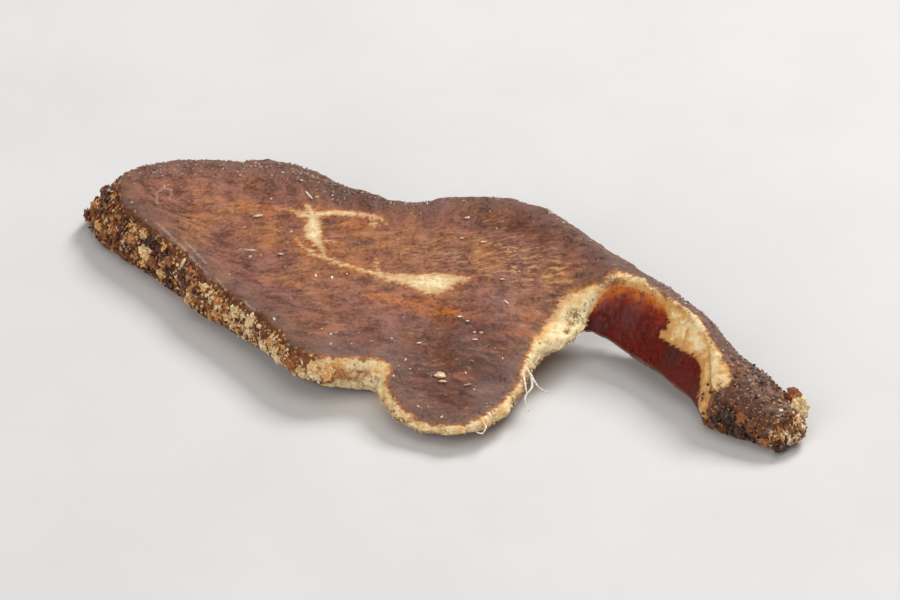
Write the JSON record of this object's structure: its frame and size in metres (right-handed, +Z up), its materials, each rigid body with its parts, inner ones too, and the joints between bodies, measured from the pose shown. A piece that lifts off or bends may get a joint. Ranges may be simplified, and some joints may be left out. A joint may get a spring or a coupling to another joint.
{
  "type": "biltong slice",
  "caption": "Long thin slice of air-dried spiced beef with a crumbly seed crust on its rim, a thin drooping lobe and a twisted narrow end.",
  "frame": {"origin": "centre of the slice's box, on the surface that it lies on", "axes": "+X along the slice towards its narrow twisted end, +Y towards the raised back edge, +Z up through the cut face"},
  "size_m": [0.0746, 0.0284, 0.0092],
  "materials": {
    "dried_meat": "dry, slightly waxy cut meat with a crumbly seed crust on its rim"
  },
  "bodies": {
    "root": {"biltong_slice": "dried_meat"}
  },
  "joints": []
}
